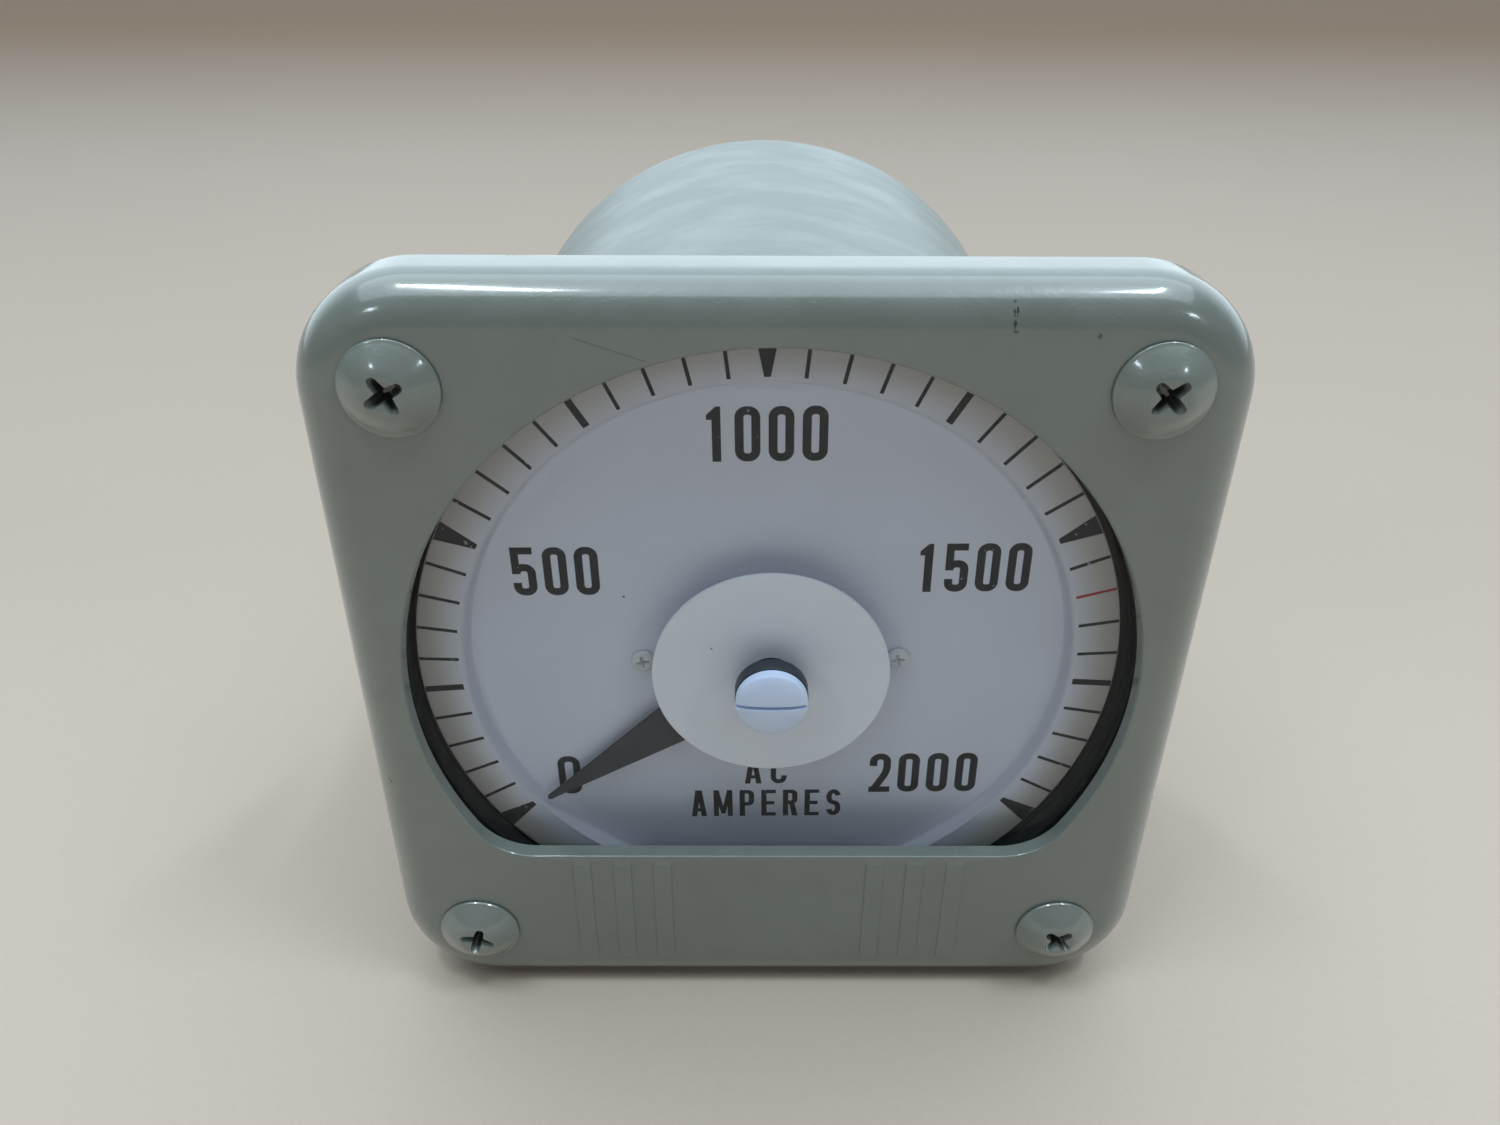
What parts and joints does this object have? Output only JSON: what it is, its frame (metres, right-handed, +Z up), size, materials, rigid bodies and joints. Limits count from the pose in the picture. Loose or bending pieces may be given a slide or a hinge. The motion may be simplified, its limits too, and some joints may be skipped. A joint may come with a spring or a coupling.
{
  "type": "panel ammeter",
  "caption": "Square-flange alternating-current panel ammeter: D-shaped window, round dial, balanced pointer, zero adjuster, round case with terminal studs.",
  "frame": {"origin": "under the middle of the overall box, at the height of the flange's lower edge", "axes": "+X to the right as the dial is read, +Y back into the panel along the pointer's axis, +Z up"},
  "size_m": [0.1142, 0.1427, 0.1143],
  "materials": {
    "paint": "satin",
    "screw_paint": "satin",
    "glass": "gloss",
    "rubber": "matte",
    "dial_white": "matte",
    "dial_screw": "satin",
    "hub_white": "matte",
    "adjuster_white": "satin",
    "nylon": "matte",
    "pointer_black": "matte",
    "zinc_steel": "satin",
    "soft_iron": "satin",
    "aluminium": "satin",
    "brass": "satin",
    "bronze": "satin",
    "copper": "satin",
    "magnet": "satin",
    "phenolic": "satin",
    "jewel": "gloss"
  },
  "bodies": {
    "housing": {"flange_cover": "paint", "mounting_plate": "paint", "case": "paint", "window_pane": "glass", "window_gasket": "rubber", "panel_gasket": "rubber", "dial_plate": "dial_white", "dial_screw_left": "dial_screw", "dial_screw_right": "dial_screw", "hub_disc": "hub_white", "adjuster_bush": "nylon", "bush_clip": "zinc_steel", "front_plate": "aluminium", "rear_bridge": "aluminium", "front_jewel": "jewel", "rear_jewel_screw": "brass", "coil_bobbin": "phenolic", "coil_winding": "copper", "coil_lead_left": "copper", "coil_lead_right": "copper", "fixed_vane": "soft_iron", "damping_magnet": "magnet", "terminal_base": "phenolic", "case_spacer_upper": "zinc_steel", "case_spacer_lower": "zinc_steel", "case_screw_upper": "zinc_steel", "case_screw_lower": "zinc_steel", "mounting_screw_tl": "screw_paint", "mounting_washer_tl": "zinc_steel", "mounting_nut_tl": "zinc_steel", "frame_post_tl": "brass", "mounting_screw_tr": "screw_paint", "mounting_washer_tr": "zinc_steel", "mounting_nut_tr": "zinc_steel", "frame_post_tr": "brass", "mounting_screw_bl": "screw_paint", "mounting_washer_bl": "zinc_steel", "mounting_nut_bl": "zinc_steel", "frame_post_bl": "brass", "mounting_screw_br": "screw_paint", "mounting_washer_br": "zinc_steel", "mounting_nut_br": "zinc_steel", "frame_post_br": "brass", "terminal_stud_left": "brass", "terminal_washer_left": "brass", "terminal_nut_left": "brass", "terminal_stud_right": "brass", "terminal_washer_right": "brass", "terminal_nut_right": "brass"},
    "moving_element": {"pointer": "pointer_black", "pointer_hub": "brass", "shaft": "zinc_steel", "spring_collet": "brass", "damping_disc": "aluminium", "moving_vane": "soft_iron"},
    "zero_adjuster": {"zero_adjuster": "adjuster_white", "adjuster_crank": "brass"},
    "zero_lever": {"zero_lever": "brass", "hairspring": "bronze"}
  },
  "joints": [
    {"name": "pointer_turn", "type": "hinge", "parent": "housing", "child": "moving_element", "pos_m": [0, -0.0611, 0.05715], "axis": [0, 1, 0], "range_deg": [-2, 253], "stiffness_Nm_per_rad": 0.00005, "deforming": ["hairspring"]},
    {"name": "zero_adjuster_turn", "type": "hinge", "parent": "housing", "child": "zero_adjuster", "pos_m": [0, -0.0686, 0.05715], "axis": [0, 1, 0], "range_deg": [-12, 12]},
    {"name": "zero_lever_turn", "type": "hinge", "parent": "housing", "child": "zero_lever", "pos_m": [0, -0.0576, 0.05715], "axis": [0, 1, 0], "range_deg": [-12, 12]}
  ],
  "couplings": [
    {"joint": "zero_lever_turn", "follows": "zero_adjuster_turn", "ratio": 1}
  ]
}
